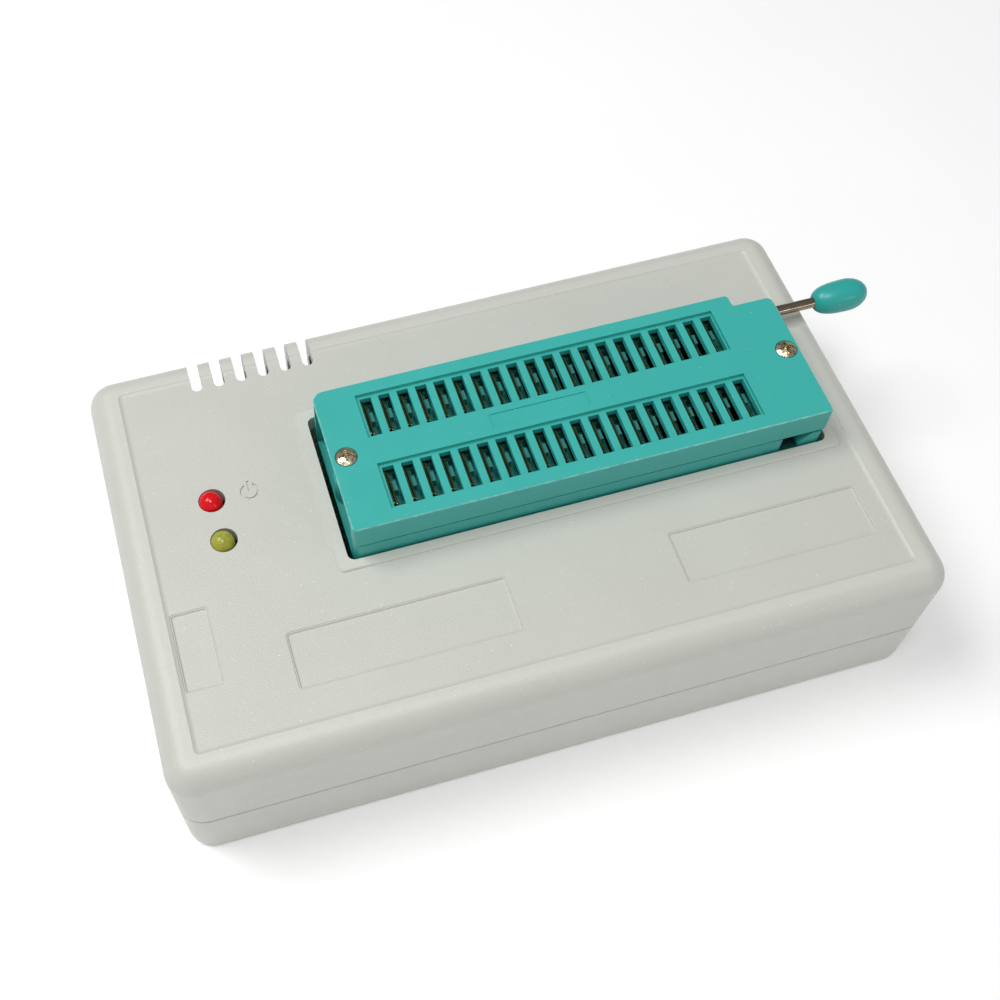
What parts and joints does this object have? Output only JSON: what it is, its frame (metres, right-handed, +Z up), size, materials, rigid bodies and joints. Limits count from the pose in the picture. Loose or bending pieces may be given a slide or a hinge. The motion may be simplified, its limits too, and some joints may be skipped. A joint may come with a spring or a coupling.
{
  "type": "usb microcontroller programmer",
  "caption": "Bench chip programmer: flat grey two-shell case with a lever-operated zero-insertion-force socket, lamps, vents and a USB socket.",
  "frame": {"origin": "centre of the flat bottom face of the case, on the surface it stands on", "axes": "+X along the socket's slot rows to the end with the lever, +Y to the side with the vents, +Z up out of the case"},
  "size_m": [0.1107, 0.0624, 0.0299],
  "materials": {
    "case_plastic": "fine moulded grain, matt",
    "socket_plastic": "smooth moulded, semi-gloss",
    "slider_plastic": "smooth moulded, semi-gloss",
    "knob_plastic": "smooth moulded, semi-gloss",
    "lever_steel": "nickel plated, smooth",
    "screw_steel": "nickel plated",
    "contact_gold": "thin gold flash over bronze",
    "board_green": "solder mask, satin",
    "chip_black": "moulded epoxy, matt",
    "tinned_leads": "tin plated, satin",
    "black_nylon": "glass-filled, matt",
    "white_nylon": "smooth, matt",
    "red_lens": "tinted diffused epoxy, gloss",
    "yellow_lens": "tinted diffused epoxy, gloss",
    "can_aluminium": "drawn, satin",
    "ferrite": "sintered, matt",
    "ceramic": "fired ceramic, satin"
  },
  "bodies": {
    "case": {"case_top": "case_plastic", "case_bottom": "case_plastic", "case_screws": "screw_steel", "socket_base": "socket_plastic", "socket_cover": "socket_plastic", "socket_screws": "screw_steel", "socket_contacts": "contact_gold", "riser_strips": "black_nylon", "riser_pins": "contact_gold", "circuit_board": "board_green", "microcontroller": "chip_black", "microcontroller_leads": "tinned_leads", "driver_chips": "chip_black", "driver_chip_leads": "tinned_leads", "transistors": "chip_black", "transistor_leads": "tinned_leads", "crystal": "can_aluminium", "capacitor_bases": "black_nylon", "capacitor_cans": "can_aluminium", "power_inductor": "ferrite", "voltage_regulator": "chip_black", "regulator_leads": "tinned_leads", "ceramic_capacitors": "ceramic", "resistors": "chip_black", "power_lamp": "red_lens", "run_lamp": "yellow_lens", "lamp_spacers": "white_nylon", "lamp_leads": "tinned_leads", "usb_shell": "tinned_leads", "usb_insulator": "white_nylon", "usb_contacts": "contact_gold"},
    "lever": {"lever": "lever_steel", "lever_knob": "knob_plastic"},
    "slider": {"socket_slider": "slider_plastic"}
  },
  "joints": [
    {"name": "lever_hinge", "type": "hinge", "parent": "case", "child": "lever", "pos_m": [0.0386, 0.0042, 0.0241], "axis": [0, -1, 0], "range_deg": [0, 90]},
    {"name": "slider_slide", "type": "slide", "parent": "case", "child": "slider", "axis": [1, 0, 0], "range_m": [0, 0.0009]}
  ],
  "couplings": [
    {"joint": "lever_hinge", "follows": "slider_slide", "rad_per_m": 1745}
  ]
}
